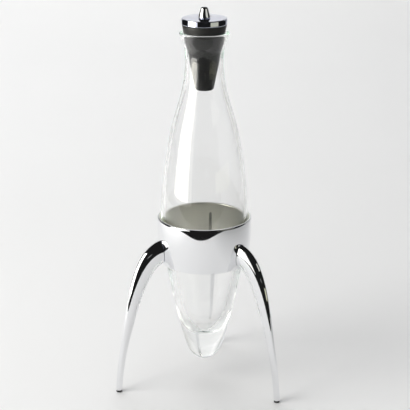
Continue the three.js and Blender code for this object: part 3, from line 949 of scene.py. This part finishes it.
soft_box_glow = glow("soft_box_glow", 7.5, (1, 0.975, 0.9), FAR_WALL_SHARE)
rim_glow = glow("rim_glow", 1.25, (1, 0.99, 0.96), FAR_WALL_SHARE)
reflector_tone = glow("reflector_tone", 0.65, (1, 1, 0.92))
low_reflector_tone = glow("low_reflector_tone", 0.66, (1, 1, 0.76))
strip_tone = glow("strip_tone", 0.35)
print("glows:", soft_box_glow.name, rim_glow.name, reflector_tone.name, low_reflector_tone.name)

# %% Flat boards
UPRIGHT = (math.pi / 2, 0, 0)
UPRIGHT_ALONG = (math.pi / 2, 0, math.pi / 2)
FRONT_END = -5


def facing(side, away, low, high):
    """Place and turn of what faces the object, side degrees right of the camera's direction"""
    turn = CAMERA_SIDE + math.radians(side)
    place = AXIS + Vector((math.sin(turn), -math.cos(turn), 0)) * away
    place.z = (low + high) / 2
    return place, (math.pi / 2, 0, turn)


def upright(name, material, start, end, away, low, high):
    """An upright board that faces the object, between two angles right of the camera's direction"""
    place, turn = facing((start + end) / 2, away, low, high)
    half = away * math.tan(math.radians((end - start) / 2))
    return board(name, material, place, (2 * half, high - low), turn)


upright("soft_box", soft_box_glow, -86, -46, 1.2, 0, 1)
upright("soft_box_rim", rim_glow, -90, -35, 1.25, -0.05, 1.05)
upright("right_reflector", reflector_tone, 31, 76, 1.2, 0.6, 0.95)
upright("low_reflector", low_reflector_tone, 31, 74, 1.2, 0.08, 0.22)
upright("camera_strip", strip_tone, 1, 10, 1.3, 0.2, 0.26)
board("low_floor", glow("low_floor_tone", DARK), (0, 0, -0.8), (9, 9))
for name, centre, size, turn in (
    ("dark_front", (0, -3, 1), (9, 4), UPRIGHT),
    ("dark_left", (-ROOM_SIDE, 0, 1), (9, 4), UPRIGHT_ALONG),
    ("dark_right", (ROOM_SIDE, 0, 1), (9, 4), UPRIGHT_ALONG),
    ("dark_ceiling", (0, 0, 2.4), (9, 9), (0, 0, 0)),
):
    dark = board(name, glow(name + "_tone", DARK), centre, size, turn)
    dark.visible_transmission = name == "dark_front"
front_paper = only_seen(paper_finish("front_paper"), False)
front_centre = (0, (TABLE_EDGE + FRONT_END) / 2, 0)
front_size = (2 * ROOM_SIDE, TABLE_EDGE - FRONT_END)
flat_sheet("front_floor", front_paper, front_centre, front_size).visible_shadow = False

# %% [markdown]
# ## The lamps
# Matt things are lit by lamps that mirrors don't see, so that the light on the paper and the shapes
# in the metal can be set apart from each other. A key lamp stands behind the soft box, a low one
# lights the feet, a fill softens the shadows, and two level ones overhead light the paper and the
# sweep. A single lamp would be simpler, but it would leave the far side of the rubber and the
# shadows on the paper too dark.

# %% Lamps
WARM, WARMER = (1, 0.99, 0.96), (1, 0.985, 0.94)


def lamp(name, place, turn, size, watts, colour=(1, 1, 1)):
    """An area lamp that only lights matt things"""
    bpy.ops.object.select_all(action="DESELECT")
    bpy.ops.object.light_add(type="AREA", location=place, rotation=turn)
    light = bpy.context.object
    light.name = light.data.name = name
    light.data.shape = "RECTANGLE"
    light.data.size, light.data.size_y = size
    light.data.energy = watts
    light.data.color = colour
    light.visible_camera = light.visible_glossy = light.visible_transmission = False
    return light


def upright_lamp(name, side, away, low, high, width, level, colour):
    """A lamp that faces the object, side degrees right of the camera's direction"""
    place, turn = facing(side, away, low, high)
    watts = level * math.pi * width * (high - low)
    return lamp(name, place, turn, (width, high - low), watts, colour)


key = upright_lamp("key_lamp", -66, 2.2, 0.3, 2.3, 2, 3.95, WARM)
upright_lamp("foot_lamp", -66, 1.15, 0, 0.35, 0.9, 1.4, WARMER)
upright_lamp("fill_lamp", -40, 1.6, 0.3, 2, 1.5, 1.38, WARM)
lamp("backdrop_lamp", (-1.2, 1.7, 2.2), (0, 0, 0), (2.6, 1.6), 26.5)
lamp("top_lamp", (-0.4, 0.3, 2.3), (0, 0, 0), (2.6, 2.6), 16.6)
print("key lamp:", round(key.data.energy, 1), "W")

# %% [markdown]
# ## The world
# Matt things get a faint, slightly blue light from all round. Camera, mirrors and glass see a pale
# surround instead, so that clear glass is never dark at its edge. Light that comes off a matt thing
# doesn't see it, or it would light the rubber cone through the glass. A plain grey world would be
# simpler, but then the edges of the glass go grey too. Light bounces long in the thick foot of the
# glass, so it may bounce often before it is given up.

# %% The world
AMBIENT, AMBIENT_COLOUR = 0.15, (0.93, 0.965, 1, 1)
SURROUND, SURROUND_COLOUR = 0.85, (0.97, 0.97, 1, 1)
BOUNCES = 200
world = bpy.data.worlds.new("studio")
bpy.context.scene.world = world
world.use_nodes = True
sky, sky_links = world.node_tree.nodes, world.node_tree.links
ambient, surround = sky["Background"], sky.new("ShaderNodeBackground")
for light, colour, strength in (
    (ambient, AMBIENT_COLOUR, AMBIENT),
    (surround, SURROUND_COLOUR, SURROUND),
):
    light.inputs["Color"].default_value = colour
    light.inputs["Strength"].default_value = strength
rays = sky.new("ShaderNodeLightPath").outputs
seen = worked_out(sky, sky_links, "MAXIMUM", rays["Is Camera Ray"], rays["Is Glossy Ray"])
seen = worked_out(sky, sky_links, "MAXIMUM", seen, rays["Is Transmission Ray"])
direct = worked_out(sky, sky_links, "SUBTRACT", seen, rays["Diffuse Depth"])
choice = sky.new("ShaderNodeMixShader")
sky_links.new(worked_out(sky, sky_links, "MAXIMUM", direct, 0), choice.inputs["Fac"])
sky_links.new(ambient.outputs[0], choice.inputs[1])
sky_links.new(surround.outputs[0], choice.inputs[2])
sky_links.new(choice.outputs[0], sky["World Output"].inputs["Surface"])
vessel.visible_shadow = False
bpy.context.scene.view_settings.view_transform = "Standard"
cycles = bpy.context.scene.cycles
cycles.max_bounces = cycles.transmission_bounces = cycles.glossy_bounces = BOUNCES
print("matt things get", AMBIENT, "from all round, glass and mirrors see", SURROUND)
